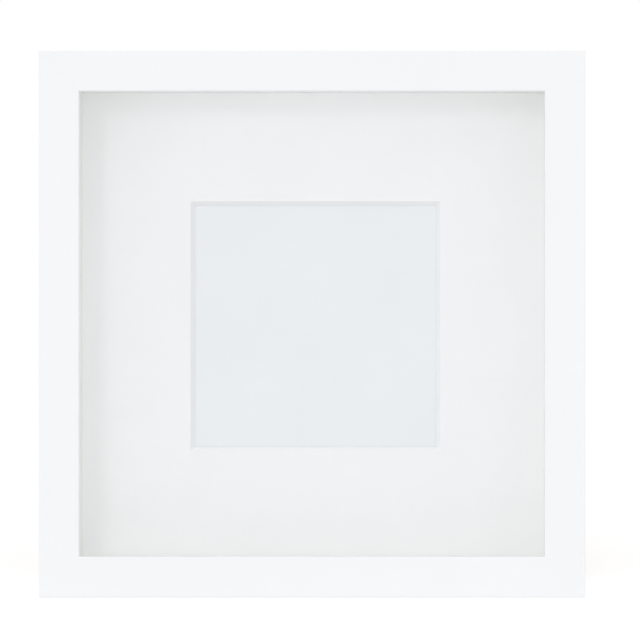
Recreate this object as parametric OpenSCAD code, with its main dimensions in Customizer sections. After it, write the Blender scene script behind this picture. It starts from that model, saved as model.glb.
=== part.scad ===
// Square shadow box: a deep frame that is loaded from the back.
// X runs to the right, Y from the front to the back and Z up. The origin is under the middle of the frame,
// on the surface it stands on. Sizes are in millimetres.

/* [Frame] */
// Outside width and height of the square frame
frame_size = 250; // [200:5:300]
// Depth from the front face to the wall
frame_depth = 45; // [42:1:60]
// Width of the flat front face of each rail
face_width = 18.5; // [16:0.5:24]
// Thickness of the front lip that the pane rests on
lip_thickness = 3; // [3:0.5:6]
// Thickness of the side wall behind the lip
wall_thickness = 9.5; // [9:0.5:12]
// Radius of the eased edges of the front face
edge_radius = 0.5; // [0.4:0.1:1.5]

/* [Layers behind the lip] */
// Clearance on each side between the loose layers and the rails
layer_clearance = 0.5; // [0.3:0.1:1]
// Thickness of the clear pane
pane_thickness = 2; // [1.2:0.1:3]
// Depth of the spacer strips, from the pane to the mat
spacer_depth = 26; // [13:1:26]
// Thickness of the spacer strips
spacer_thickness = 3; // [2:0.5:6]
// Thickness of the mat at its window
mat_thickness = 1.9; // [1:0.1:2.5]
// Width and height of the mat's window at its front face
window_size = 120; // [60:5:170]
// Depth of the rim behind the mat, which holds the window's edge off the sheet
rim_depth = 0.3; // [0.2:0.1:1.5]
// Distance of the rim from the window
rim_setback = 6; // [3:1:20]
// Thickness of the sheet that fills the window
insert_thickness = 0.5; // [0.3:0.1:1.5]
// Thickness of the hardboard back panel
panel_thickness = 2.5; // [2:0.5:4]

/* [Tabs and corner nails] */
// Distance of each tab from the middle of its rail
tab_offset = 70; // [40:5:85]
// Width of a tab
tab_width = 8; // [5:0.5:10]
// Thickness of the tab's soft steel
tab_thickness = 0.5; // [0.3:0.1:0.6]
// Length of the flap that bends over the back panel
flap_length = 8.5; // [6:0.5:9]
// Length of the shank that sits in the rail
shank_length = 6; // [4:0.5:8]
// Length of each leg of a corner nail
nail_leg = 7; // [4:0.5:9]
// Depth that a corner nail is driven into the rails
nail_depth = 8; // [5:1:12]

/* [Hanger] */
// Distance of the loop's pivot below the top of the back panel
pivot_drop = 35; // [25:1:60]
// Diameter of the loop's wire
wire_diameter = 1.8; // [1.4:0.1:2.2]
// Width of the loop at its pivot, between wire centres
loop_width = 18; // [18:1:24]
// Distance from the pivot to the centre of the far bend
loop_length = 20; // [18:1:26]
// Radius of the loop's bends, at the wire's centre
loop_bend = 3; // [2.5:0.1:3.2]
// Width of the strap that is rolled round the wire
strap_width = 10; // [8:0.5:11]
// Thickness of the strap
strap_thickness = 0.8; // [0.6:0.1:1]
// Distance of the rivet below the pivot
rivet_drop = 4.8; // [4.6:0.1:5.2]

/* [Hidden] */
$fn = 64;

// Finishes
rail_white = [0.96, 0.965, 0.97];
mat_white = [0.94, 0.945, 0.95];
pane_clear = [0.85, 0.92, 0.94, 0.25];
insert_blue_grey = [0.92, 0.935, 0.945];
hardboard_brown = [0.45, 0.31, 0.2];
steel_grey = [0.7, 0.71, 0.72];
brass_yellow = [0.8, 0.65, 0.35];

// Places of the layers along Y, from the front face to the wall
front_y = -frame_depth / 2;
back_y = frame_depth / 2;
pane_y = front_y + lip_thickness;
spacer_y = pane_y + pane_thickness;
mat_y = spacer_y + spacer_depth;
rim_y = mat_y + mat_thickness;
insert_y = rim_y + rim_depth;
panel_y = insert_y + insert_thickness;
panel_back_y = panel_y + panel_thickness;

// Size of the layers, and of the space inside the spacer strips
middle_z = frame_size / 2;
layer_size = frame_size - 2 * wall_thickness - 2 * layer_clearance;
spacer_inside = layer_size - 2 * spacer_thickness;

// Tabs: the flap starts in a round root that turns just off the wall
tab_gap = 0.15;
tab_y = panel_back_y + tab_gap;
root_radius = tab_thickness / 2;
root_z = wall_thickness + root_radius + 0.05;
tip_width = tab_width / 2;
tip_slope = 2.5;

// Corner nails
nail_thickness = 0.6;
nail_inset = wall_thickness / 2;

// Hanger: the loop's pivot, the roll of the strap round it, and the slope of the loop's sides
pivot_z = middle_z + layer_size / 2 - pivot_drop;
wire_radius = wire_diameter / 2;
roll_clearance = 0.1;
roll_inner = wire_radius + roll_clearance;
roll_outer = roll_inner + strap_thickness;
pivot_y = panel_back_y + roll_outer;
bend_x = loop_width / 2 - loop_bend;
side_slope = atan2(bend_x, loop_length - loop_bend);
side_length = norm([bend_x, loop_length - loop_bend]);
strap_end = strap_width / 2;
strap_straight = 4;
shank_radius = 1.4;
head_radius = 2.4;
head_height = 1.1;
flange_radius = 2.6;
flange_height = 0.6;

// An XZ outline made solid from y0 to y1
module slab(y0, y1) {
  translate([0, y1, 0]) rotate([90, 0, 0]) linear_extrude(y1 - y0) children();
}

// The same, for an outline drawn about the middle of the frame
module layer(y0, y1) {
  translate([0, 0, middle_z]) slab(y0, y1) children();
}

// A quarter turn of the frame for each step: 0 bottom, 1 left, 2 top, 3 right
module turned(steps) {
  translate([0, 0, middle_z]) rotate([0, 90 * steps, 0]) translate([0, 0, -middle_z]) children();
}

// A round bar along X, centred at y and z
module bar_x(radius, length, y, z) {
  translate([0, y, z]) rotate([0, 90, 0]) cylinder(r = radius, h = length, center = true);
}

// Section of the bottom rail: its wall, and the lip with eased front edges
module rail_section() {
  eased = front_y + edge_radius;
  translate([eased, 0]) square([back_y - eased, wall_thickness]);
  translate([eased, 0]) square([lip_thickness - edge_radius, face_width]);
  translate([front_y, edge_radius]) square([lip_thickness, face_width - 2 * edge_radius]);
  translate([eased, edge_radius]) circle(edge_radius);
  translate([eased, face_width - edge_radius]) circle(edge_radius);
}

// A rail as it lies at the bottom, mitred, with slots for its tabs and corner nails
module rail() {
  color(rail_white)
  difference() {
    intersection() {
      rotate([90, 0, 90]) linear_extrude(frame_size, center = true) rail_section();
      slab(front_y, back_y) polygon([[-middle_z, 0], [middle_z, 0], [0, middle_z]]);
    }
    for (side = [-1, 1]) shank(side);
    corner_nail();
    turned(3) corner_nail();
  }
}

module bottom_rail() { rail(); }
module left_rail() { turned(1) rail(); }
module top_rail() { turned(2) rail(); }
module right_rail() { turned(3) rail(); }

// The nail of the bottom left corner, with a leg in each rail
module corner_nail() {
  half = nail_thickness / 2;
  translate([-middle_z + nail_inset, 0, nail_inset])
  slab(back_y - nail_depth, back_y) {
    translate([-half, -half]) square([nail_leg, nail_thickness]);
    translate([-half, -half]) square([nail_thickness, nail_leg]);
  }
}

module corner_nails() {
  color(steel_grey)
  for (corner = [0:3]) turned(corner) corner_nail();
}

module glazing_pane() {
  color(pane_clear)
  layer(pane_y, spacer_y) square(layer_size, center = true);
}

// The upper or lower spacer strip, between the two side strips
module spacer_across(end) {
  color(rail_white)
  layer(spacer_y, mat_y)
  translate([0, end * (layer_size - spacer_thickness) / 2])
  square([spacer_inside, spacer_thickness], center = true);
}

// A side spacer strip, as tall as the mat
module spacer_upright(end) {
  color(rail_white)
  layer(spacer_y, mat_y)
  translate([end * (layer_size - spacer_thickness) / 2, 0])
  square([spacer_thickness, layer_size], center = true);
}

module spacer_top() { spacer_across(1); }
module spacer_bottom() { spacer_across(-1); }
module spacer_left() { spacer_upright(-1); }
module spacer_right() { spacer_upright(1); }

// The sloping sides of the window, in one direction: wider at the mat's front face
module window_wedge() {
  wide = window_size / 2;
  narrow = wide - mat_thickness;
  linear_extrude(frame_size, center = true)
  polygon([[-wide, mat_y], [wide, mat_y], [narrow, rim_y], [-narrow, rim_y]]);
}

// The mat, hollowed behind so that only a rim touches the sheet
module mat_board() {
  color(mat_white)
  difference() {
    layer(mat_y, insert_y) square(layer_size, center = true);
    layer(rim_y, insert_y) square(window_size + 2 * rim_setback, center = true);
    translate([0, 0, middle_z])
    intersection() {
      window_wedge();
      rotate([0, 90, 0]) window_wedge();
    }
  }
}

module insert_sheet() {
  color(insert_blue_grey)
  layer(insert_y, panel_y) square(layer_size, center = true);
}

// The hardboard, with the rivet's hole and a seat for its flange on the inside
module back_panel() {
  color(hardboard_brown)
  difference() {
    layer(panel_y, panel_back_y) square(layer_size, center = true);
    translate([0, 0, pivot_z - rivet_drop]) {
      slab(panel_y, panel_back_y) circle(shank_radius);
      slab(panel_y, panel_y + flange_height) circle(flange_radius);
    }
  }
}

// The fixed part of a tab of the bottom rail, inside its slot
module shank(side) {
  translate([side * tab_offset - tab_width / 2, tab_y, wall_thickness - shank_length])
  cube([tab_width, tab_thickness, shank_length]);
}

module tab_shanks() {
  color(steel_grey)
  for (step = [0:3], side = [-1, 1]) turned(step) shank(side);
}

// The flap of a tab, lying over the back panel with a narrowed tip
module tab(step, side) {
  shoulder = flap_length - tip_slope;
  color(steel_grey)
  turned(step)
  translate([side * tab_offset, 0, 0]) {
    bar_x(root_radius, tab_width, tab_y + root_radius, root_z);
    slab(tab_y, tab_y + tab_thickness)
    polygon([
      [-tab_width / 2, root_z],
      [tab_width / 2, root_z],
      [tab_width / 2, wall_thickness + shoulder],
      [tip_width / 2, wall_thickness + flap_length],
      [-tip_width / 2, wall_thickness + flap_length],
      [-tab_width / 2, wall_thickness + shoulder]
    ]);
  }
}

module bottom_tab_left() { tab(0, -1); }
module bottom_tab_right() { tab(0, 1); }
module left_tab_lower() { tab(1, 1); }
module left_tab_upper() { tab(1, -1); }
module top_tab_left() { tab(2, 1); }
module top_tab_right() { tab(2, -1); }
module right_tab_lower() { tab(3, -1); }
module right_tab_upper() { tab(3, 1); }

// The strap: a plate on the panel whose upper end is rolled round the loop's wire
module hanger_strap() {
  color(brass_yellow)
  difference() {
    union() {
      translate([0, 0, pivot_z])
      slab(panel_back_y, panel_back_y + strap_thickness) {
        translate([-strap_width / 2, -strap_straight]) square([strap_width, strap_straight]);
        translate([0, -strap_straight]) circle(strap_end);
      }
      bar_x(roll_outer, strap_width, pivot_y, pivot_z);
    }
    bar_x(roll_inner, strap_width + 1, pivot_y, pivot_z);
    translate([0, 0, pivot_z - rivet_drop])
    slab(panel_back_y - 1, panel_back_y + strap_thickness + 1) circle(shank_radius);
  }
}

// The rivet, turned from its section: flange, shank and a low domed head
module hanger_rivet() {
  seat = panel_thickness + strap_thickness;
  color(brass_yellow)
  translate([0, panel_y, pivot_z - rivet_drop])
  rotate([-90, 0, 0])
  rotate_extrude()
  polygon([
    [0, 0],
    [flange_radius, 0],
    [flange_radius, flange_height],
    [shank_radius, flange_height],
    [shank_radius, seat],
    [head_radius, seat],
    [head_radius, seat + head_height * 0.4],
    [head_radius * 0.6, seat + head_height * 0.9],
    [0, seat + head_height]
  ]);
}

// A bend of the loop's wire, centred at x and z, from one angle to another in the XZ plane
module wire_bend(x, z, from, to) {
  translate([x, 0, z])
  rotate([90, 0, 0])
  rotate([0, 0, from])
  rotate_extrude(angle = to - from)
  translate([loop_bend, 0]) circle(wire_radius);
}

// The right side of the loop: the bend beside the pivot, then straight down to the far bend
module loop_side() {
  wire_bend(bend_x, -loop_bend, -side_slope, 90);
  translate([bend_x + loop_bend * cos(side_slope), 0, -loop_bend * (1 + sin(side_slope))])
  rotate([0, 180 + side_slope, 0])
  cylinder(r = wire_radius, h = side_length);
}

// The loop hangs from its pivot, which is its own straight side
module hanger_ring() {
  color(brass_yellow)
  translate([0, pivot_y, pivot_z]) {
    bar_x(wire_radius, 2 * bend_x, 0, 0);
    loop_side();
    mirror([1, 0, 0]) loop_side();
    wire_bend(0, -loop_length, 180 + side_slope, 360 - side_slope);
  }
}

top_rail();
bottom_rail();
left_rail();
right_rail();
corner_nails();
glazing_pane();
spacer_top();
spacer_bottom();
spacer_left();
spacer_right();
mat_board();
insert_sheet();
back_panel();
tab_shanks();
bottom_tab_left();
bottom_tab_right();
left_tab_lower();
left_tab_upper();
top_tab_left();
top_tab_right();
right_tab_lower();
right_tab_upper();
hanger_strap();
hanger_rivet();
hanger_ring();
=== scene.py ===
"""The looks of a square shadow box, dressed over its packed construction. All lengths are in metres."""

import math

import bmesh
import bpy
from bpy.props import FloatProperty, FloatVectorProperty, PointerProperty
from mathutils import Matrix, Vector


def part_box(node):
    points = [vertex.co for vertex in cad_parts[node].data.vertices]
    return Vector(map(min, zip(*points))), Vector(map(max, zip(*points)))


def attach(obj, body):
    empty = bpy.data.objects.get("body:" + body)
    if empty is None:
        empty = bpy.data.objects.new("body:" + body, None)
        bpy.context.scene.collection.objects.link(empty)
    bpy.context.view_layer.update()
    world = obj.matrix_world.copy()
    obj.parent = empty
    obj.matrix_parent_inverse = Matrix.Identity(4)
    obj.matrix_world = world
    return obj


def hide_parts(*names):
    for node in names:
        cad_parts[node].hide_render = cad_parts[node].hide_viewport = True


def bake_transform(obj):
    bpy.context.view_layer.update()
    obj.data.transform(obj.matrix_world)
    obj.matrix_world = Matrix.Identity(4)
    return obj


bl_info = {
    "name": "Shadow Box",
    "version": (1, 0, 0),
    "blender": (4, 5, 0),
    "location": "3D View > Sidebar > Shadow Box",
    "description": "Dresses a deep square box frame: rails, pane, spacers, mat, panel, tabs and hanger",
    "category": "Object",
}

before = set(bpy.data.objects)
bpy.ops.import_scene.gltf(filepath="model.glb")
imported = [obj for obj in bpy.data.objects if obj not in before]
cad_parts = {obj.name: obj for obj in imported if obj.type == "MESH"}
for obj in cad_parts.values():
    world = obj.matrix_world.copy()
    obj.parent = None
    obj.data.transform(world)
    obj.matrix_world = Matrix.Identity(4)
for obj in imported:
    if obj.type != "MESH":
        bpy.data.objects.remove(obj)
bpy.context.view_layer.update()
MM = 0.001
QUARTER = math.pi / 2
WHITE = (1.0, 1.0, 1.0, 1.0)

# Vertices nearer to each other than this are one
MERGE_DISTANCE = 0.0005 * MM
# Shortest edge that is kept where a strip narrows to a point
SHORTEST_EDGE = 0.001 * MM
# Profile of a bevel that is a quarter of a circle
ROUND_PROFILE = 0.5
# A face looks along an axis if its normal's share of that axis is larger than this
SQUARE_ON = 0.9
# Weight that keeps large faces quite flat beside their rounded edges
FLAT_WEIGHT = 100
# A wave texture of scale 1 runs through this many radians in a metre
WAVE_RATE = 20.0

# Places that the construction fixes
RAIL_LOW, RAIL_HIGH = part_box("bottom_rail")
PANE_LOW, PANE_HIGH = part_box("glazing_pane")
MAT_LOW, MAT_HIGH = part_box("mat_board")
PANEL_LOW, PANEL_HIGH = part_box("back_panel")
NAILS_LOW, NAILS_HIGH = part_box("corner_nails")
STRAP_LOW, STRAP_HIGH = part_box("hanger_strap")
RIVET_LOW, RIVET_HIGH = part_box("hanger_rivet")
LOOP_LOW, LOOP_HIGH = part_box("hanger_ring")
FRONT, BACK = RAIL_LOW.y, RAIL_HIGH.y
HALF = RAIL_HIGH.x
FACE_WIDTH = RAIL_HIGH.z
LIP_BACK = PANE_LOW.y

# The sides in the order of their quarter turns about the middle of the frame, seen from the front
SIDES = ("bottom", "left", "top", "right")
TABS = {
    "bottom": ("bottom_tab_left", "bottom_tab_right"),
    "left": ("left_tab_lower", "left_tab_upper"),
    "top": ("top_tab_left", "top_tab_right"),
    "right": ("right_tab_lower", "right_tab_upper"),
}


def length(label, note, default):
    """A length that the user may change."""
    return FloatProperty(name=label, description=note, default=default, min=0.0, unit="LENGTH", precision=5)


def tint(label, note, default):
    """A finish's colour that the user may change."""
    return FloatVectorProperty(
        name=label, description=note, default=default, size=3, min=0.0, max=1.0, subtype="COLOR"
    )


def level(label, note, default):
    """A level of light that the user may change."""
    return FloatProperty(name=label, description=note, default=default, min=0.0, max=2.0, subtype="FACTOR")


class ShadowBoxSizes(bpy.types.PropertyGroup):
    """Sizes of the dressed pieces that their outer boxes don't give."""

    wall: length("Wall", "Thickness of the rails behind the lip", 9.5 * MM)
    edge_radius: length("Edge radius", "Radius of the long edges of the rails' faces", 0.5 * MM)
    back_ease: length("Back ease", "Radius of the small edges at the back of the rails", 0.3 * MM)
    mitre_ease: length("Mitre ease", "Depth of the hairline groove at each mitre, in front", 0.016 * MM)
    mitre_gap: length("Mitre gap", "Depth of that groove at the back of the rails", 0.06 * MM)
    foil_on_back: length("Foil on the back", "How far the foil turns onto the back faces", 6.0 * MM)
    foil_on_lip: length("Foil on the lip", "How far the foil turns behind the lip", 8.6 * MM)
    sheet_ease: length("Sheet ease", "Radius of the edges of sheets and strips", 0.2 * MM)
    window: length("Window", "Width of the mat's window at its front edge", 120.0 * MM)
    mat_board: length("Mat board", "Thickness of the mat at its window", 1.9 * MM)
    rim_setback: length("Rim setback", "Distance from the window to the rim behind the mat", 6.0 * MM)
    ply: length("Ply", "Thickness of the mat's facing paper", 0.12 * MM)
    nail_leg: length("Nail leg", "Length of each leg of a corner nail", 7.0 * MM)
    nail_thickness: length("Nail thickness", "Thickness of a corner nail", 0.6 * MM)
    nail_stand: length("Nail stand", "How far the corner nails stand out of the rails", 0.05 * MM)
    shank: length("Shank", "Length of each tab inside its rail", 6.0 * MM)
    tab_tip: length("Tab tip", "Width of a tab at its free end", 4.0 * MM)
    tab_shoulder: length("Tab shoulder", "Distance from the wall at which a tab starts to taper", 4.0 * MM)
    tab_press: length("Tab press", "How far a tab's end leans towards the panel", 0.12 * MM)
    bend: length("Bend", "Length of each tab that bends, from the wall", 1.4 * MM)
    wire: length("Wire", "Diameter of the hanging loop's wire", 1.8 * MM)
    loop_bend: length("Loop bend", "Radius of the loop's bends, at the wire's centre", 3.0 * MM)
    strap_thickness: length("Strap thickness", "Thickness of the hanger's strap", 0.8 * MM)
    rivet_flange: length("Rivet flange", "Thickness of the rivet's flange inside the panel", 0.6 * MM)


class ShadowBoxColours(bpy.types.PropertyGroup):
    """Colours of the finishes."""

    foil: tint("Foil", "White foil on the rails", (0.870, 0.876, 0.891))
    fibreboard: tint("Fibreboard", "Bare board of the rails where the foil ends", (0.52, 0.39, 0.255))
    wrap: tint("Wrap", "White paper round the spacer strips", (0.862, 0.868, 0.830))
    mat: tint("Mat", "Facing paper of the mat", (0.907, 0.903, 0.923))
    core: tint("Core", "Core of the mat, bare at the bevel", (0.848, 0.850, 0.862))
    insert: tint("Insert", "Pale sheet behind the window", (0.833, 0.858, 0.889))
    hardboard: tint("Hardboard", "Pressed board of the back panel", (0.30, 0.185, 0.10))
    steel: tint("Steel", "Zinc plated steel of the tabs and nails", (0.50, 0.51, 0.525))
    brass: tint("Brass", "Brass plate of the hanger", (0.80, 0.60, 0.27))
    glass_edge: tint("Glass edge", "Ground edge of the pane", (0.52, 0.70, 0.63))
    floor: tint("Floor", "Pale floor", (0.9, 0.9, 0.9))


class ShadowBoxStage(bpy.types.PropertyGroup):
    """The camera's place and the level of the lights."""

    distance: length("Distance", "From the camera to the plane of the faces", 600.0 * MM)
    view_width: length("View width", "Width of the view in the plane of the faces", 292.4 * MM)
    aside: length("Aside", "How far right of the frame's middle the camera stands", 34.0 * MM)
    below: length("Below", "How far under the frame's middle the camera stands", 22.0 * MM)
    framed_left: length("Framed left", "How far left of the view's middle the frame lies", 3.7 * MM)
    framed_low: length("Framed low", "How far under the view's middle the frame lies", 1.8 * MM)
    room_light: level("Room light", "Level of the even light of the room", 0.763)
    key_light: level("Key light", "Level of the soft lamp", 0.086)
    fill_light: level("Fill light", "Level of the shadowless lamp above and to the left", 0.102)
    rim_light: level("Rim light", "Level of the shadowless lamp below and to the right", 0.042)
    floor_glow: level("Floor glow", "What the floor adds to look white in the view", 0.13)


def sizes():
    """The sizes that the user sees in the panel."""
    return bpy.context.scene.shadow_box_sizes


def colours():
    """The colours that the user sees in the panel."""
    return bpy.context.scene.shadow_box_colours


def opaque(colour):
    """A colour as the four numbers that a shader socket takes."""
    return (*colour, 1.0)


def dimmed(colour, share):
    """A darker or lighter tone of a colour."""
    return tuple(min(part * share, 1.0) for part in colour)


def add_node(tree, kind, inputs=None, **settings):
    """A node with its settings, and its inputs set or linked."""
    node = tree.nodes.new(kind)
    for name, value in settings.items():
        setattr(node, name, value)
    for name, value in (inputs or {}).items():
        socket = node.inputs[name]
        if isinstance(value, bpy.types.NodeSocket):
            tree.links.new(value, socket)
        else:
            socket.default_value = value
    return node


def maths(tree, operation, first, second=0.0):
    """One step of arithmetic in a tree."""
    return add_node(tree, "ShaderNodeMath", {0: first, 1: second}, operation=operation).outputs["Value"]


class Finish:
    """A material whose pattern is read in Object coordinates, in metres."""

    def __init__(self, name, **constants):
        self.material = bpy.data.materials.new(name)
        self.material.use_nodes = True
        self.tree = self.material.node_tree
        self.tree.nodes.clear()
        self.shader = self.add("ShaderNodeBsdfPrincipled")
        self.output = self.add("ShaderNodeOutputMaterial", {"Surface": self.shader.outputs["BSDF"]})
        self.place = self.add("ShaderNodeTexCoord").outputs["Object"]
        for socket, value in constants.items():
            self.shader.inputs[socket.replace("_", " ")].default_value = value

    def add(self, kind, inputs=None, **settings):
        """A node of this material."""
        return add_node(self.tree, kind, inputs, **settings)

    def noise(self, size, detail=3.0, stretch=(1.0, 1.0, 1.0)):
        """Soft noise whose blots are about size across, drawn out along the axes by stretch."""
        scale = tuple(1.0 / part for part in stretch)
        place = self.add("ShaderNodeMapping", {"Vector": self.place, "Scale": scale}).outputs["Vector"]
        inputs = {"Vector": place, "Scale": 1.0 / size, "Detail": detail}
        return self.add("ShaderNodeTexNoise", inputs).outputs["Fac"]

    def ranged(self, value, low, high, start=0.3, end=0.7):
        """The value, spread from its own range start to end over low to high."""
        inputs = {"Value": value, "From Min": start, "From Max": end, "To Min": low, "To Max": high}
        return self.add("ShaderNodeMapRange", inputs).outputs["Result"]

    def threads(self, size, width):
        """Thin curled lines like loose fibres, about size apart, as a share from 0 to 1."""
        edge = maths(self.tree, "SUBTRACT", self.noise(size, 1.0), 0.5)
        return self.ranged(maths(self.tree, "ABSOLUTE", edge), 1.0, 0.0, 0.0, width / size)

    def mixed(self, share, first, second):
        """A colour between two colours."""
        first, second = (c if isinstance(c, bpy.types.NodeSocket) else opaque(c) for c in (first, second))
        return self.add("ShaderNodeMix", {0: share, 6: first, 7: second}, data_type="RGBA").outputs[2]

    def toned(self, value, colour, low, high):
        """The colour, in tones from a low to a high share of it as the value rises."""
        return self.mixed(self.ranged(value, 0, 1), dimmed(colour, low), dimmed(colour, high))

    def coloured(self, value):
        """Gives the surface its colour."""
        self.tree.links.new(value, self.shader.inputs["Base Color"])

    def roughened(self, value, low, high):
        """Gives the surface its roughness, from low to high as the value rises."""
        self.tree.links.new(self.ranged(value, low, high), self.shader.inputs["Roughness"])

    def raised(self, height, depth):
        """Gives the surface its relief, of a real depth."""
        bump = self.add("ShaderNodeBump", {"Height": height, "Distance": depth})
        if self.shader.inputs["Normal"].is_linked:
            self.tree.links.new(self.shader.inputs["Normal"].links[0].from_socket, bump.inputs["Normal"])
        self.tree.links.new(bump.outputs["Normal"], self.shader.inputs["Normal"])


def finish_of(make):
    """The material that a function makes, made on its first use."""
    name = f"{make.__name__}_finish"
    return bpy.data.materials.get(name) or make(name)


def white_foil(name):
    """Satin white foil with a faint ripple of the board under it."""
    finish = Finish(name, Specular_IOR_Level=0.45)
    finish.coloured(finish.toned(finish.noise(60 * MM), colours().foil, 0.988, 1.0))
    finish.roughened(finish.noise(9 * MM), 0.36, 0.46)
    finish.raised(finish.noise(1.6 * MM, 2.0), 0.02 * MM)
    return finish.material


def bare_fibreboard(name):
    """Cut fibreboard: short pale and dark fibres, quite dull."""
    finish = Finish(name, Specular_IOR_Level=0.2)
    colour = colours().fibreboard
    fibres = finish.noise(0.22 * MM, 4.0, (1.6, 1.0, 1.6))
    specks = finish.noise(0.5 * MM, 3.0)
    cloud = finish.noise(9 * MM)
    tone = finish.toned(fibres, colour, 0.78, 1.16)
    tone = finish.mixed(finish.ranged(specks, 0.6, 0.0, 0.28, 0.4), tone, dimmed(colour, 0.55))
    finish.coloured(finish.mixed(finish.ranged(cloud, 0.0, 0.3), tone, dimmed(colour, 0.9)))
    finish.roughened(fibres, 0.92, 0.8)
    finish.raised(fibres, 0.06 * MM)
    return finish.material


def paper(name, colour, shade=0.985, tooth=0.45 * MM, depth=0.035 * MM, roughness=0.88):
    """Matt paper or card with a fine tooth and faint clouds."""
    finish = Finish(name, Specular_IOR_Level=0.25)
    grain = finish.noise(tooth, 3.0)
    tone = finish.toned(finish.noise(22 * MM, 4.0), colour, shade, 1.0)
    finish.coloured(finish.mixed(finish.ranged(grain, 0.06, 0.0), tone, dimmed(colour, 0.86)))
    finish.roughened(grain, roughness + 0.05, roughness - 0.05)
    finish.raised(grain, depth)
    return finish.material


def white_wrap(name):
    """White paper glued round the spacer strips."""
    return paper(name, colours().wrap, roughness=0.7)


def mat_paper(name):
    """Facing paper of the mat."""
    return paper(name, colours().mat)


def mat_core(name):
    """Cut core of the mat, with the knife's fine ridges."""
    finish = Finish(name, Specular_IOR_Level=0.2)
    ridges = finish.noise(0.12 * MM, 2.0, (1.0, 6.0, 1.0))
    finish.coloured(finish.toned(ridges, colours().core, 0.97, 1.0))
    finish.roughened(ridges, 0.95, 0.85)
    finish.raised(ridges, 0.02 * MM)
    return finish.material


def insert_paper(name):
    """Smooth pale sheet with a slow drift of tone."""
    finish = Finish(name, Specular_IOR_Level=0.3)
    colour = colours().insert
    fibres = finish.noise(0.35 * MM, 3.0, (2.0, 1.0, 1.0))
    tone = finish.toned(finish.noise(45 * MM, 4.0), colour, 0.985, 1.01)
    finish.coloured(finish.mixed(finish.ranged(fibres, 0.05, 0.0), tone, dimmed(colour, 0.85)))
    finish.roughened(fibres, 0.72, 0.6)
    finish.raised(fibres, 0.008 * MM)
    return finish.material


def hardboard(name, screen):
    """Pressed brown board: smooth with dark flecks, or marked by the press's wire screen."""
    finish = Finish(name, Specular_IOR_Level=0.3)
    colour = colours().hardboard
    flecks = finish.noise(0.7 * MM, 5.0, (1.4, 1.0, 1.0))
    fuzz = finish.noise(0.3 * MM, 3.0)
    tone = finish.toned(finish.noise(35 * MM, 4.0), colour, 0.86, 1.12)
    tone = finish.mixed(finish.ranged(fuzz, 0.0, 0.4), tone, dimmed(colour, 1.35))
    for size, shade in ((1.7 * MM, 0.6), (2.3 * MM, 1.5), (1.2 * MM, 1.3)):
        fibres = finish.ranged(finish.threads(size, 0.05 * MM), 0.0, 0.4, 0.0, 1.0)
        tone = finish.mixed(fibres, tone, dimmed(colour, shade))
    finish.coloured(finish.mixed(finish.ranged(flecks, 0.7, 0.0, 0.26, 0.4), tone, dimmed(colour, 0.42)))
    finish.roughened(fuzz, 0.8 if screen else 0.5, 0.62)
    finish.raised(fuzz, 0.02 * MM)
    if screen:
        pitch = 1.5 * MM
        scale = 2 * math.pi / (WAVE_RATE * pitch)
        inputs = {"Vector": finish.place, "Scale": scale, "Distortion": 0.6, "Detail": 1.0}
        waves = [
            finish.add("ShaderNodeTexWave", inputs, bands_direction=axis).outputs["Fac"]
            for axis in ("X", "Z")
        ]
        finish.raised(maths(finish.tree, "MULTIPLY", *waves), 0.15 * MM)
    return finish.material


def smooth_hardboard(name):
    """Outer face of the back panel."""
    return hardboard(name, screen=False)


def screen_hardboard(name):
    """Inner face of the back panel."""
    return hardboard(name, screen=True)


def zinc_steel(name):
    """Zinc plate on rolled steel, with faint streaks and a mottled sheen."""
    finish = Finish(name, Metallic=1.0)
    spangle = finish.noise(1.1 * MM, 3.0)
    streaks = finish.noise(0.12 * MM, 2.0, (1.0, 1.0, 12.0))
    finish.coloured(finish.toned(spangle, colours().steel, 0.74, 1.06))
    finish.roughened(spangle, 0.26, 0.44)
    finish.raised(streaks, 0.01 * MM)
    return finish.material


def brass_plate(name):
    """Brass plate that has dulled a little in patches."""
    finish = Finish(name, Metallic=1.0)
    patches = finish.noise(2.2 * MM, 4.0)
    scuffs = finish.noise(0.15 * MM, 2.0, (6.0, 1.0, 1.0))
    finish.coloured(finish.toned(patches, colours().brass, 0.8, 1.0))
    finish.roughened(patches, 0.34, 0.2)
    finish.raised(scuffs, 0.004 * MM)
    return finish.material


def clear_glass(name):
    """Clear sheet glass that lets the lamps and the room's light through to what is behind it."""
    finish = Finish(name, Transmission_Weight=1.0, Roughness=0.0, IOR=1.5)
    finish.shader.inputs["Base Color"].default_value = (0.99, 0.995, 0.993, 1.0)
    path = finish.add("ShaderNodeLightPath").outputs
    passing = maths(finish.tree, "MAXIMUM", path["Is Shadow Ray"], path["Is Diffuse Ray"])
    open_air = finish.add("ShaderNodeBsdfTransparent", {"Color": (0.966, 0.97, 0.968, 1.0)})
    seen = finish.add("ShaderNodeMixShader", {
        0: passing, 1: finish.shader.outputs["BSDF"], 2: open_air.outputs["BSDF"],
    })
    finish.tree.links.new(seen.outputs["Shader"], finish.output.inputs["Surface"])
    return finish.material


def ground_glass(name):
    """Ground edge of the pane, greenish and dull."""
    finish = Finish(name, Specular_IOR_Level=0.5)
    grit = finish.noise(0.25 * MM, 3.0)
    finish.coloured(finish.toned(grit, colours().glass_edge, 0.85, 1.1))
    finish.roughened(grit, 0.35, 0.55)
    finish.raised(grit, 0.02 * MM)
    return finish.material


def new_piece(name, mesh, *materials):
    """An object at the origin that shows the mesh, with these materials in its slots."""
    mesh.name = name
    for material in materials:
        mesh.materials.append(material)
    piece = bpy.data.objects.new(name, mesh)
    bpy.context.scene.collection.objects.link(piece)
    return piece


def settled(piece, body, slot, *nodes):
    """The piece moves with its body and stands for these nodes."""
    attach(piece, body)
    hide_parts(*nodes)
    return piece


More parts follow.
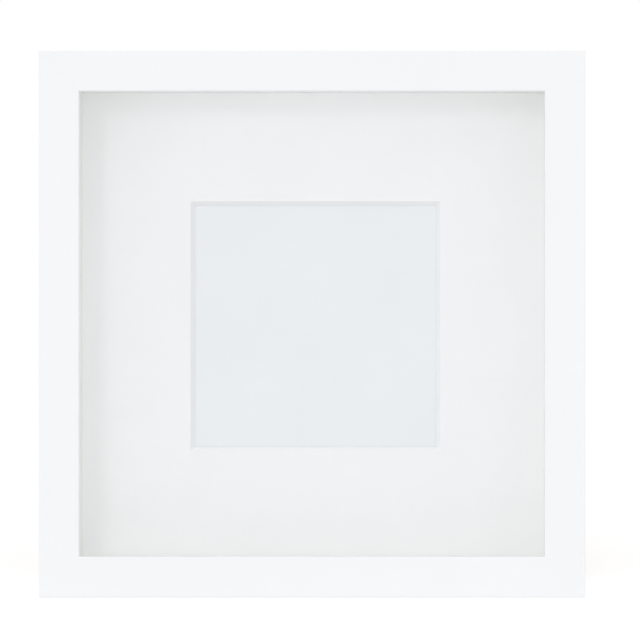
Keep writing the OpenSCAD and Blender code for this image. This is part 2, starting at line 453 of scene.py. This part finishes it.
def mesh_from(built, smooth_angle=40.0):
    """A plain mesh from a bmesh, with its doubles merged, faces outwards and only soft edges smooth."""
    bmesh.ops.remove_doubles(built, verts=built.verts, dist=MERGE_DISTANCE)
    bmesh.ops.recalc_face_normals(built, faces=built.faces)
    mesh = bpy.data.meshes.new("mesh")
    built.to_mesh(mesh)
    built.free()
    mesh.shade_smooth()
    mesh.set_sharp_from_angle(angle=math.radians(smooth_angle))
    return mesh


def flat_faces_first(piece):
    """Keeps the large flat faces flat where rounded edges meet them."""
    modifier = piece.modifiers.new("Flat faces", "WEIGHTED_NORMAL")
    modifier.keep_sharp = True
    modifier.weight = FLAT_WEIGHT
    return piece


def made_plain(piece, modifier):
    """Turns what the modifier makes of the piece into its plain mesh."""
    shown = piece.evaluated_get(bpy.context.evaluated_depsgraph_get())
    mesh = bpy.data.meshes.new_from_object(shown)
    piece.modifiers.remove(modifier)
    piece.data = mesh


def bridged(built, near, far):
    """The faces between two closed loops that have as many vertices, in their order."""
    count = len(near)
    faces = []
    for index in range(count):
        after = (index + 1) % count
        faces.append(built.faces.new((near[index], near[after], far[after], far[index])))
    return faces


def turned(point, quarter_turns):
    """A point of the bottom side, carried round the middle of the frame to another side."""
    angle = quarter_turns * QUARTER
    x, z = point[0], point[2] - HALF
    return Vector((
        x * math.cos(angle) + z * math.sin(angle),
        point[1],
        HALF - x * math.sin(angle) + z * math.cos(angle),
    ))


def arc(centre, radius, start, end, steps):
    """Points on an arc in a section, with angles in degrees."""
    angles = [math.radians(start + (end - start) * step / steps) for step in range(steps + 1)]
    return [(centre[0] + radius * math.cos(a), centre[1] + radius * math.sin(a)) for a in angles]


FOIL, BOARD = 0, 1


def rail_section():
    """The rail's section, as depth and distance from the outer face, with the finish of each edge."""
    own = sizes()
    back = BACK - own.nail_stand
    round_steps, ease_steps = 8, 3
    radius, ease, wall = own.edge_radius, own.back_ease, own.wall
    outline = [(point, FOIL) for point in arc((FRONT + radius, radius), radius, 270, 180, round_steps)]
    outline += [
        (point, FOIL) for point in arc((FRONT + radius, FACE_WIDTH - radius), radius, 180, 90, round_steps)
    ]
    lip_corner = (LIP_BACK - ease, FACE_WIDTH - ease)
    outline += [(point, FOIL) for point in arc(lip_corner, ease, 90, 0, ease_steps)]
    outline += [((LIP_BACK, FACE_WIDTH - own.foil_on_lip), BOARD), ((LIP_BACK, wall), BOARD)]
    outline += [(point, BOARD) for point in arc((back - ease, wall - ease), ease, 90, 0, ease_steps)]
    outline += [((back, own.foil_on_back), FOIL)]
    outline += [(point, FOIL) for point in arc((back - ease, ease), ease, 0, -90, ease_steps)]
    return outline


def shrunk(points, depths):
    """The section's points, each moved inwards by its own depth, square to its edges."""
    moved = []
    for index, (point, depth) in enumerate(zip(points, depths)):
        before, here = Vector(points[index - 1]), Vector(point)
        after = Vector(points[(index + 1) % len(points)])
        first, second = (here - before).normalized(), (after - here).normalized()
        first, second = Vector((first.y, -first.x)), Vector((second.y, -second.x))
        moved.append(here + depth * (first + second) / (1.0 + first.dot(second)))
    return moved


def rail_mesh(quarter_turns):
    """A mitred rail with a groove along each mitre: a hairline in front, wider at the back."""
    own = sizes()
    outline = rail_section()
    whole = [point for point, _ in outline]
    grooves = [own.mitre_gap if depth > LIP_BACK else own.mitre_ease for depth, _ in whole]
    inner, flush = shrunk(whole, grooves), [0.0] * len(outline)
    rings = [(inner, -1, flush), (whole, -1, grooves), (whole, 1, grooves), (inner, 1, flush)]
    built = bmesh.new()
    loops = [
        [built.verts.new(turned((end * (HALF - inset - short), depth, inset), quarter_turns))
         for (depth, inset), short in zip(section, shorts)]
        for section, end, shorts in rings
    ]
    for near, far in zip(loops, loops[1:]):
        for face, (_, finish) in zip(bridged(built, near, far), outline):
            face.material_index = finish
    for loop in (loops[0], loops[-1]):
        built.faces.new(loop).material_index = BOARD
    return mesh_from(built)


class SHADOW_BOX_OT_rails(bpy.types.Operator):
    """Make the four mitred rails, foiled outside and bare inside"""

    bl_idname = "shadow_box.rails"
    bl_label = "Rails"

    def execute(self, context):
        foil, board = finish_of(white_foil), finish_of(bare_fibreboard)
        for quarter_turns, side in enumerate(SIDES):
            rail = new_piece(f"{side}_rail_foiled", rail_mesh(quarter_turns), foil, board)
            flat_faces_first(rail)
            settled(rail, "frame", "white_rail", f"{side}_rail")
        return {"FINISHED"}


def eased_box(low, high, ease, steps=2):
    """A flat sheet or strip with rounded edges, as a bmesh."""
    built = bmesh.new()
    middle, size = (low + high) / 2, high - low
    shape = Matrix.Translation(middle) @ Matrix.Diagonal((*size, 1.0))
    bmesh.ops.create_cube(built, size=1.0, matrix=shape)
    bmesh.ops.bevel(
        built, geom=built.edges, offset=ease, segments=steps,
        profile=ROUND_PROFILE, affect="EDGES", clamp_overlap=True,
    )
    return built


def facing(face, axis):
    """Whether a face looks along the axis, either way."""
    return abs(face.normal[axis]) > SQUARE_ON


class SHADOW_BOX_OT_pane(bpy.types.Operator):
    """Make the clear pane with its ground edges"""

    bl_idname = "shadow_box.pane"
    bl_label = "Pane"

    def execute(self, context):
        built = eased_box(PANE_LOW, PANE_HIGH, sizes().sheet_ease)
        for face in built.faces:
            face.material_index = 0 if facing(face, 1) else 1
        clear, ground = finish_of(clear_glass), finish_of(ground_glass)
        pane = flat_faces_first(new_piece("glass_sheet", mesh_from(built), clear, ground))
        settled(pane, "pane", "clear_pane", "glazing_pane")
        return {"FINISHED"}


class SHADOW_BOX_OT_spacers(bpy.types.Operator):
    """Make the four strips that hold the mat away from the pane"""

    bl_idname = "shadow_box.spacers"
    bl_label = "Spacers"

    def execute(self, context):
        wrap, board = finish_of(white_wrap), finish_of(bare_fibreboard)
        for side in SIDES:
            built = eased_box(*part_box(f"spacer_{side}"), sizes().sheet_ease)
            along = 0 if side in ("bottom", "top") else 2
            for face in built.faces:
                face.material_index = 1 if facing(face, along) else 0
            strip = flat_faces_first(new_piece(f"{side}_spacer_strip", mesh_from(built), wrap, board))
            settled(strip, "spacer", "white_spacer", f"spacer_{side}")
        return {"FINISHED"}


PAPER, CORE = 0, 1


def mat_mesh():
    """The mat as rings round its window: paper on the faces, core on the bevel and the other cut edges."""
    own = sizes()
    outer, window = MAT_HIGH.x, own.window / 2
    rim = window + own.rim_setback
    front, back = MAT_LOW.y, MAT_HIGH.y
    behind = front + own.mat_board
    rings = [
        (outer, back, CORE),
        (outer, front, PAPER),
        (window, front, PAPER),
        (window - own.ply, front + own.ply, CORE),
        (window - own.mat_board, behind, PAPER),
        (rim, behind, CORE),
        (rim, back, PAPER),
    ]
    built = bmesh.new()
    corners = ((-1, -1), (1, -1), (1, 1), (-1, 1))
    loops = [
        [built.verts.new((x * half, depth, HALF + z * half)) for x, z in corners]
        for half, depth, _ in rings
    ]
    for near, far, (_, _, finish) in zip(loops, loops[1:] + loops[:1], rings):
        for face in bridged(built, near, far):
            face.material_index = finish
    return mesh_from(built)


class SHADOW_BOX_OT_mat(bpy.types.Operator):
    """Make the mat with its bevel-cut window and the rim behind it"""

    bl_idname = "shadow_box.mat"
    bl_label = "Mat"

    def execute(self, context):
        face, core = finish_of(mat_paper), finish_of(mat_core)
        mat = new_piece("bevelled_mat", mat_mesh(), face, core)
        settled(mat, "mat", "mat_paper", "mat_board")
        return {"FINISHED"}


class SHADOW_BOX_OT_insert(bpy.types.Operator):
    """Make the pale sheet behind the window"""

    bl_idname = "shadow_box.insert"
    bl_label = "Insert"

    def execute(self, context):
        low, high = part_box("insert_sheet")
        built = eased_box(low, high, min(sizes().sheet_ease, (high - low).y / 3))
        sheet = new_piece("pale_sheet", mesh_from(built), finish_of(insert_paper))
        settled(flat_faces_first(sheet), "insert", "insert_paper", "insert_sheet")
        return {"FINISHED"}


def lathe(profile, centre, steps=64):
    """A closed turned shape about an axis along Y through the centre, from points of depth and radius."""
    built = bmesh.new()
    loops = []
    for depth, radius in profile:
        angles = [2 * math.pi * step / steps for step in range(steps)]
        loops.append([
            built.verts.new((centre.x + radius * math.cos(a), depth, centre.z + radius * math.sin(a)))
            for a in angles
        ])
    for near, far in zip(loops, loops[1:]):
        bridged(built, near, far)
    for loop in (loops[0], loops[-1]):
        built.faces.new(loop)
    return built


def rivet_centre():
    """Middle of the rivet."""
    return (RIVET_LOW + RIVET_HIGH) / 2


def cut_from(piece, cutter):
    """Cuts the cutter's shape out of the piece and removes the cutter."""
    modifier = piece.modifiers.new("Cut", "BOOLEAN")
    modifier.object = cutter
    modifier.solver = "EXACT"
    made_plain(piece, modifier)
    bpy.data.objects.remove(cutter)


class SHADOW_BOX_OT_back_panel(bpy.types.Operator):
    """Make the hardboard panel, with the rivet's seat on its inner face"""

    bl_idname = "shadow_box.back_panel"
    bl_label = "Back panel"

    def execute(self, context):
        built = eased_box(PANEL_LOW, PANEL_HIGH, 2 * sizes().sheet_ease, steps=3)
        for face in built.faces:
            face.material_index = 1 if face.normal.y < -SQUARE_ON else 0
        outer, inner = finish_of(smooth_hardboard), finish_of(screen_hardboard)
        panel = new_piece("hardboard_back", mesh_from(built), outer, inner)
        room, overshoot = 0.02 * MM, 1.0 * MM
        radius = RIVET_HIGH.x + room
        seat = PANEL_LOW.y + sizes().rivet_flange + room
        profile = [(PANEL_LOW.y - overshoot, radius), (seat, radius)]
        cut_from(panel, new_piece("rivet_seat", mesh_from(lathe(profile, rivet_centre()))))
        settled(flat_faces_first(panel), "back", "hardboard", "back_panel")
        return {"FINISHED"}


def new_tree(name, inputs):
    """An empty node tree with these named inputs and a geometry output."""
    tree = bpy.data.node_groups.new(name, "GeometryNodeTree")
    for label, kind in inputs.items():
        tree.interface.new_socket(label, in_out="INPUT", socket_type=f"NodeSocket{kind}")
    tree.interface.new_socket("Geometry", in_out="OUTPUT", socket_type="NodeSocketGeometry")
    return tree, tree.nodes.new("NodeGroupInput").outputs


def end_tree(tree, geometry, material):
    """Ends a tree with plain geometry that has its material."""
    real = add_node(tree, "GeometryNodeRealizeInstances", {"Geometry": geometry}).outputs["Geometry"]
    finished = add_node(tree, "GeometryNodeSetMaterial", {"Geometry": real, "Material": material})
    output = tree.nodes.new("NodeGroupOutput")
    tree.links.new(finished.outputs["Geometry"], output.inputs["Geometry"])


def grown(name, tree, values):
    """A piece whose plain mesh is what the tree makes of these values."""
    piece = new_piece(name, bpy.data.meshes.new(name))
    modifier = piece.modifiers.new(tree.name, "NODES")
    modifier.node_group = tree
    for item in tree.interface.items_tree:
        if item.in_out == "INPUT":
            modifier[item.identifier] = values[item.name]
    made_plain(piece, modifier)
    piece.data.name = name
    return piece


def combined(tree, x=0.0, y=0.0, z=0.0):
    """A vector of three numbers or sockets."""
    return add_node(tree, "ShaderNodeCombineXYZ", {"X": x, "Y": y, "Z": z}).outputs["Vector"]


def placed(tree, geometry, **change):
    """Geometry with a Translation, Rotation or Scale in a tree."""
    inputs = {"Geometry": geometry, **change}
    return add_node(tree, "GeometryNodeTransform", inputs).outputs["Geometry"]


def nail_mesh():
    """One corner nail: a V of thin steel that opens along X, with its ridge along Y."""
    own = sizes()
    half, leg = own.nail_thickness / 2, own.nail_leg - own.nail_thickness / 2
    outline = [(-half, -half), (leg, -half), (leg, half), (half, half), (half, leg), (-half, leg)]
    turn = Matrix.Rotation(math.radians(-45), 2)
    places = [turn @ Vector(point) for point in outline]
    ease = 0.1 * MM
    built = bmesh.new()
    ends = [
        [built.verts.new((place.x, depth, place.y)) for place in places]
        for depth in (NAILS_LOW.y, NAILS_HIGH.y)
    ]
    bridged(built, *ends)
    for end in ends:
        built.faces.new(end)
    rim = [edge for edge in built.edges if all(vert in ends[1] for vert in edge.verts)]
    bmesh.ops.recalc_face_normals(built, faces=built.faces)
    bmesh.ops.bevel(built, geom=rim, offset=ease, segments=2, profile=ROUND_PROFILE, affect="EDGES")
    return mesh_from(built)


def nails_tree():
    """Sets a nail at each corner of a square that stands upright, opening towards the middle."""
    tree, given = new_tree("Corner nails", {
        "Nail": "Object", "Spacing": "Float", "Height": "Float", "Finish": "Material",
    })
    square = add_node(tree, "GeometryNodeMeshGrid", {
        "Size X": given["Spacing"], "Size Y": given["Spacing"], "Vertices X": 2, "Vertices Y": 2,
    }).outputs["Mesh"]
    upright = placed(tree, square, Rotation=(QUARTER, 0.0, 0.0))
    place = add_node(tree, "GeometryNodeInputPosition").outputs["Position"]
    inwards = add_node(tree, "ShaderNodeVectorMath", {0: place, "Scale": -1.0}, operation="SCALE")
    turn = add_node(
        tree, "FunctionNodeAlignRotationToVector", {"Vector": inwards.outputs["Vector"]},
        axis="X", pivot_axis="Y",
    ).outputs["Rotation"]
    nail = add_node(tree, "GeometryNodeObjectInfo", {"Object": given["Nail"]}).outputs["Geometry"]
    nails = add_node(tree, "GeometryNodeInstanceOnPoints", {
        "Points": upright, "Instance": nail, "Rotation": turn,
    }).outputs["Instances"]
    lifted = placed(tree, nails, Translation=combined(tree, z=given["Height"]))
    end_tree(tree, lifted, given["Finish"])
    return tree


class SHADOW_BOX_OT_corner_nails(bpy.types.Operator):
    """Make the nails that hold the mitres together at the back"""

    bl_idname = "shadow_box.corner_nails"
    bl_label = "Corner nails"

    def execute(self, context):
        one = new_piece("one_nail", nail_mesh())
        nails = grown("steel_corner_nails", nails_tree(), {
            "Nail": one,
            "Spacing": 2 * (NAILS_HIGH.x - sizes().nail_thickness / 2),
            "Height": HALF,
            "Finish": finish_of(zinc_steel),
        })
        bpy.data.objects.remove(one)
        settled(nails, "frame", "zinc_steel", "corner_nails")
        return {"FINISHED"}


def tab_tree():
    """One steel strip along Z, from its end in the rail to its tapered tip, turned to its side."""
    tree, given = new_tree("Bent tab", {
        "Width": "Float", "Thickness": "Float", "Length": "Float", "Taper Start": "Float",
        "Tip Width": "Float", "Press": "Float", "Place": "Vector", "Turn": "Float", "Middle": "Vector",
        "Finish": "Material",
    })
    columns, rows = 7, 73
    strip = add_node(tree, "GeometryNodeMeshCube", {
        "Size": combined(tree, given["Width"], given["Thickness"], given["Length"]),
        "Vertices X": columns, "Vertices Y": 2, "Vertices Z": rows,
    }).outputs["Mesh"]
    half = maths(tree, "DIVIDE", given["Length"], 2.0)
    strip = placed(tree, strip, Translation=combined(tree, z=half))
    place = add_node(tree, "ShaderNodeSeparateXYZ", {
        "Vector": add_node(tree, "GeometryNodeInputPosition").outputs["Position"],
    }).outputs
    along = add_node(tree, "ShaderNodeMapRange", {
        "Value": place["Z"], "From Min": given["Taper Start"], "From Max": given["Length"],
    }).outputs["Result"]
    narrow = maths(tree, "SUBTRACT", maths(tree, "DIVIDE", given["Tip Width"], given["Width"]), 1.0)
    narrowed = maths(tree, "ADD", maths(tree, "MULTIPLY", along, narrow), 1.0)
    # The last of the strip is rounded: how suddenly, and by what share of the width
    tip_power, tip_cut = 24.0, 0.35
    rounding = maths(tree, "MULTIPLY", maths(tree, "POWER", along, tip_power), -tip_cut)
    width = maths(tree, "MULTIPLY", place["X"], maths(tree, "ADD", narrowed, rounding))
    lean = maths(tree, "MULTIPLY", maths(tree, "MULTIPLY", along, given["Press"]), -1.0)
    strip = add_node(tree, "GeometryNodeSetPosition", {
        "Geometry": strip,
        "Position": combined(tree, width, maths(tree, "ADD", place["Y"], lean), place["Z"]),
    }).outputs["Geometry"]
    strip = placed(tree, strip, Translation=given["Place"])
    strip = placed(tree, strip, Rotation=combined(tree, y=given["Turn"]))
    strip = placed(tree, strip, Translation=given["Middle"])
    end_tree(tree, strip, given["Finish"])
    return tree


class SHADOW_BOX_OT_tabs(bpy.types.Operator):
    """Make the steel tabs, each one tapered strip that leans a little towards the panel past its shoulder
    """

    bl_idname = "shadow_box.tabs"
    bl_label = "Tabs"

    def execute(self, context):
        own = sizes()
        tree = tab_tree()
        root = own.wall - own.shank
        for quarter_turns, side in enumerate(SIDES):
            for node in TABS[side]:
                low, high = (turned(corner, -quarter_turns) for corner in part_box(node))
                middle, tip = (low + high) / 2, max(low.z, high.z)
                strip = grown(f"{node}_strip", tree, {
                    "Width": abs(high.x - low.x),
                    "Thickness": abs(high.y - low.y),
                    "Length": tip - root,
                    "Taper Start": own.shank + own.tab_shoulder,
                    "Tip Width": own.tab_tip,
                    "Press": own.tab_press,
                    "Place": Vector((middle.x, middle.y, root - HALF)),
                    "Turn": quarter_turns * QUARTER,
                    "Middle": Vector((0.0, 0.0, HALF)),
                    "Finish": finish_of(zinc_steel),
                })
                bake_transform(strip)
                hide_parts(node, "tab_shanks")
        return {"FINISHED"}


def strap_rows():
    """The strap's middle line from its round end to its roll: depth, height, direction, half width."""
    own = sizes()
    half_width = STRAP_HIGH.x
    roll = (STRAP_HIGH.y - STRAP_LOW.y) / 2 - own.strap_thickness / 2
    plate = STRAP_LOW.y + own.strap_thickness / 2
    pivot = Vector((plate + roll, STRAP_HIGH.z - roll - own.strap_thickness / 2))
    end_centre = STRAP_LOW.z + half_width
    end_steps, roll_steps, roll_turn = 16, 40, 325.0
    rows = []
    for step in range(end_steps + 1):
        angle = QUARTER * step / end_steps
        height = end_centre - half_width * math.cos(angle)
        rows.append((plate, height, (0.0, 1.0), half_width * math.sin(angle)))
    for step in range(roll_steps + 1):
        angle = math.radians(180.0 - roll_turn * step / roll_steps)
        direction = (math.sin(angle), -math.cos(angle))
        rows.append((
            pivot.x + roll * math.cos(angle), pivot.y + roll * math.sin(angle), direction, half_width,
        ))
    return rows


class SHADOW_BOX_OT_hanger_strap(bpy.types.Operator):
    """Make the strap that is rolled round the loop's wire"""

    bl_idname = "shadow_box.hanger_strap"
    bl_label = "Hanger strap"

    def execute(self, context):
        columns = 9
        shares = [2 * step / (columns - 1) - 1 for step in range(columns)]
        half = sizes().strap_thickness / 2
        built = bmesh.new()
        skins = []
        for side in (-1, 1):
            grid = []
            for depth, height, direction, half_width in strap_rows():
                normal = (-direction[1], direction[0])
                y, z = depth + side * half * normal[0], height + side * half * normal[1]
                grid.append([built.verts.new((half_width * share, y, z)) for share in shares])
            skins.append(grid)
        for grid in skins:
            for near, far in zip(grid, grid[1:]):
                for step in range(columns - 1):
                    built.faces.new((near[step], near[step + 1], far[step + 1], far[step]))
        rims = [[
            [row[0] for row in grid], grid[-1], [row[-1] for row in reversed(grid)],
        ] for grid in skins]
        for inner, outer in zip(*rims):
            for step in range(len(inner) - 1):
                built.faces.new((inner[step], inner[step + 1], outer[step + 1], outer[step]))
        bmesh.ops.dissolve_degenerate(built, edges=built.edges, dist=SHORTEST_EDGE)
        strap = new_piece("rolled_strap", mesh_from(built), finish_of(brass_plate))
        settled(strap, "back", "brass_plate", "hanger_strap")
        return {"FINISHED"}


class SHADOW_BOX_OT_hanger_rivet(bpy.types.Operator):
    """Make the domed rivet that holds the strap to the panel"""

    bl_idname = "shadow_box.hanger_rivet"
    bl_label = "Hanger rivet"

    def execute(self, context):
        own = sizes()
        seat = PANEL_HIGH.y + own.strap_thickness
        head_share, shank_share = 0.48, 0.54
        flange = RIVET_HIGH.x
        head, shank = STRAP_HIGH.x * head_share, flange * shank_share
        rise = RIVET_HIGH.y - seat
        curve = (head * head + rise * rise) / (2 * rise)
        reach = math.asin(head / curve)
        steps = 14
        angles = [reach * step / steps for step in range(steps - 1, 0, -1)]
        dome = [(RIVET_HIGH.y - curve * (1 - math.cos(a)), curve * math.sin(a)) for a in angles]
        ease = own.sheet_ease
        profile = [
            (RIVET_LOW.y, flange - ease),
            (RIVET_LOW.y + ease, flange),
            (RIVET_LOW.y + own.rivet_flange, flange),
            (RIVET_LOW.y + own.rivet_flange, shank),
            (seat, shank),
            (seat, head),
            *dome,
        ]
        mesh = mesh_from(lathe(profile, rivet_centre()))
        rivet = new_piece("domed_rivet", mesh, finish_of(brass_plate))
        settled(rivet, "back", "brass_plate", "hanger_rivet")
        return {"FINISHED"}


def loop_tree():
    """A wire bent to a triangle with round corners, its level side on the pivot and its tip below."""
    tree, given = new_tree("Wire loop", {
        "Corner": "Float", "Drop": "Float", "Bend": "Float", "Wire": "Float", "Pivot": "Vector",
        "Finish": "Material",
    })
    # A triangle in a circle of radius 1: its length from a side to the tip, and its corners' distance aside
    unit_length, unit_aside = 1.5, math.sqrt(0.75)
    bend_steps, wire_steps = 14, 20
    triangle = add_node(tree, "GeometryNodeCurvePrimitiveCircle", {"Resolution": 3, "Radius": 1.0})
    scale = combined(
        tree,
        maths(tree, "DIVIDE", given["Drop"], unit_length),
        maths(tree, "DIVIDE", given["Corner"], unit_aside),
        1.0,
    )
    # The side lies a third of the length from the triangle's middle
    start = combined(tree, maths(tree, "DIVIDE", given["Drop"], 3.0))
    bent = placed(tree, triangle.outputs["Curve"], Translation=start, Scale=scale)
    bent = add_node(tree, "GeometryNodeFilletCurve", {
        "Curve": bent, "Count": bend_steps, "Radius": given["Bend"],
    }, mode="POLY").outputs["Curve"]
    section = add_node(tree, "GeometryNodeCurvePrimitiveCircle", {
        "Resolution": wire_steps, "Radius": maths(tree, "DIVIDE", given["Wire"], 2.0),
    }).outputs["Curve"]
    tube = add_node(tree, "GeometryNodeCurveToMesh", {
        "Curve": bent, "Profile Curve": section,
    }).outputs["Mesh"]
    hung = placed(tree, tube, Rotation=(QUARTER, QUARTER, 0.0))
    hung = placed(tree, hung, Translation=given["Pivot"])
    smooth = add_node(tree, "GeometryNodeSetShadeSmooth", {"Geometry": hung}).outputs["Geometry"]
    end_tree(tree, smooth, given["Finish"])
    return tree


class SHADOW_BOX_OT_hanging_loop(bpy.types.Operator):
    """Make the loose wire loop of the hanger"""

    bl_idname = "shadow_box.hanging_loop"
    bl_label = "Hanging loop"

    def execute(self, context):
        own = sizes()
        wire, bend = own.wire / 2, own.loop_bend
        pivot = Vector((0.0, (LOOP_LOW.y + LOOP_HIGH.y) / 2, LOOP_HIGH.z - wire))
        bend_aside = LOOP_HIGH.x - wire - bend
        bend_drop = pivot.z - (LOOP_LOW.z + wire + bend)
        slope = math.atan2(bend_aside, bend_drop - bend)
        side_x = bend_aside + bend * math.cos(slope)
        side_z = bend * (1.0 + math.sin(slope))
        loop = grown("wire_loop", loop_tree(), {
            "Corner": side_x + side_z * math.tan(slope),
            "Drop": side_z + side_x / math.tan(slope),
            "Bend": bend,
            "Wire": own.wire,
            "Pivot": pivot,
            "Finish": finish_of(brass_plate),
        })
        settled(loop, "ring", "brass_plate", "hanger_ring")
        return {"FINISHED"}


def shown_rays(tree):
    """Whether a ray comes from the camera, a mirror or glass, as a number."""
    path = add_node(tree, "ShaderNodeLightPath").outputs
    seen = maths(tree, "MAXIMUM", path["Is Camera Ray"], path["Is Glossy Ray"])
    return maths(tree, "MAXIMUM", seen, path["Is Transmission Ray"])


def floor_finish():
    """A pale floor that keeps the object's shadow and looks white in the view."""
    stage = bpy.context.scene.shadow_box_stage
    finish = Finish("pale_floor", Specular_IOR_Level=0.0, Roughness=1.0)
    finish.coloured(finish.toned(finish.noise(3 * MM), colours().floor, 0.99, 1.0))
    glow = maths(finish.tree, "MULTIPLY", shown_rays(finish.tree), stage.floor_glow)
    light = finish.add("ShaderNodeEmission", {"Color": WHITE, "Strength": glow})
    both = finish.add("ShaderNodeAddShader", {
        0: finish.shader.outputs["BSDF"], 1: light.outputs["Emission"],
    })
    finish.tree.links.new(both.outputs["Shader"], finish.output.inputs["Surface"])
    return finish.material


def lay_floor():
    """A wide floor just under the object."""
    reach, gap = 12.0, 0.1 * MM
    built = bmesh.new()
    corners = ((-reach, -reach), (reach, -reach), (reach, reach), (-reach, reach))
    built.faces.new([built.verts.new((x, y, -gap)) for x, y in corners])
    mesh = bpy.data.meshes.new("floor")
    built.to_mesh(mesh)
    built.free()
    new_piece("floor", mesh, floor_finish())


def light_room():
    """A white room with an even light."""
    world = bpy.data.worlds.new("white_room")
    bpy.context.scene.world = world
    world.use_nodes = True
    tree = world.node_tree
    tree.nodes.clear()
    room_light = bpy.context.scene.shadow_box_stage.room_light
    lit = add_node(tree, "ShaderNodeBackground", {"Color": WHITE, "Strength": room_light})
    white = add_node(tree, "ShaderNodeBackground", {"Color": WHITE, "Strength": 1.0})
    seen = add_node(tree, "ShaderNodeMixShader", {
        0: shown_rays(tree), 1: lit.outputs["Background"], 2: white.outputs["Background"],
    })
    add_node(tree, "ShaderNodeOutputWorld", {"Surface": seen.outputs["Shader"]})


def hang_lamp(name, light, left, above, spread, shadow=True):
    """A lamp far before the frame, at angles in degrees to its left and above it, unseen in mirrors."""
    lamp = bpy.data.lights.new(name, "SUN")
    aside, up = math.radians(left), math.radians(above)
    towards = Vector((math.sin(aside) * math.cos(up), math.cos(aside) * math.cos(up), -math.sin(up)))
    lamp.energy = light * math.pi / towards.y
    lamp.angle = math.radians(spread)
    lamp.use_shadow = shadow
    holder = bpy.data.objects.new(name, lamp)
    holder.rotation_euler = towards.to_track_quat("-Z", "Y").to_euler()
    holder.visible_glossy = False
    holder.visible_transmission = False
    bpy.context.scene.collection.objects.link(holder)


class SHADOW_BOX_OT_stage(bpy.types.Operator):
    """Set the floor, the room's light, the lamps and the camera"""

    bl_idname = "shadow_box.stage"
    bl_label = "Stage"

    def execute(self, context):
        scene = context.scene
        stage = scene.shadow_box_stage
        scene.view_settings.view_transform = "Standard"
        lay_floor()
        light_room()
        hang_lamp("key_lamp", stage.key_light, left=10.0, above=7.5, spread=14.0)
        hang_lamp("fill_lamp", stage.fill_light, left=54.0, above=54.0, spread=2.0, shadow=False)
        hang_lamp("rim_lamp", stage.rim_light, left=-69.0, above=-23.0, spread=2.0, shadow=False)
        lens = bpy.data.cameras.new("photo_camera")
        lens.sensor_width = 36.0
        lens.lens = lens.sensor_width * stage.distance / stage.view_width
        lens.shift_x = -(stage.aside - stage.framed_left) / stage.view_width
        lens.shift_y = (stage.below + stage.framed_low) / stage.view_width
        camera = bpy.data.objects.new("photo_camera", lens)
        camera.location = (stage.aside, FRONT - stage.distance, HALF - stage.below)
        camera.rotation_euler = (QUARTER, 0.0, 0.0)
        scene.collection.objects.link(camera)
        scene.camera = camera
        return {"FINISHED"}


OPERATORS = (
    SHADOW_BOX_OT_stage,
    SHADOW_BOX_OT_rails,
    SHADOW_BOX_OT_corner_nails,
    SHADOW_BOX_OT_pane,
    SHADOW_BOX_OT_spacers,
    SHADOW_BOX_OT_mat,
    SHADOW_BOX_OT_insert,
    SHADOW_BOX_OT_back_panel,
    SHADOW_BOX_OT_tabs,
    SHADOW_BOX_OT_hanger_strap,
    SHADOW_BOX_OT_hanger_rivet,
    SHADOW_BOX_OT_hanging_loop,
)
GROUPS = {
    "shadow_box_sizes": ShadowBoxSizes,
    "shadow_box_colours": ShadowBoxColours,
    "shadow_box_stage": ShadowBoxStage,
}


class SHADOW_BOX_PT_pieces(bpy.types.Panel):
    """Lists the pieces, and the sizes and colours that they are made from"""

    bl_idname = "SHADOW_BOX_PT_pieces"
    bl_label = "Shadow Box"
    bl_space_type = "VIEW_3D"
    bl_region_type = "UI"
    bl_category = "Shadow Box"

    def draw(self, context):
        for operator in OPERATORS:
            self.layout.operator(operator.bl_idname)
        for name, group in GROUPS.items():
            box = self.layout.box()
            for label in group.__annotations__:
                box.prop(getattr(context.scene, name), label)


def register():
    """Registers the classes, and hangs the sizes, colours and stage on the scene."""
    for kind in (*GROUPS.values(), *OPERATORS, SHADOW_BOX_PT_pieces):
        bpy.utils.register_class(kind)
    for name, group in GROUPS.items():
        setattr(bpy.types.Scene, name, PointerProperty(type=group))


def unregister():
    """Takes back what register did."""
    for name in GROUPS:
        delattr(bpy.types.Scene, name)
    for kind in (SHADOW_BOX_PT_pieces, *reversed(OPERATORS), *reversed(GROUPS.values())):
        bpy.utils.unregister_class(kind)


def main():
    """Makes every piece."""
    register()
    for operator in OPERATORS:
        group, name = operator.bl_idname.split(".")
        getattr(getattr(bpy.ops, group), name)()


if __name__ == "__main__":
    main()
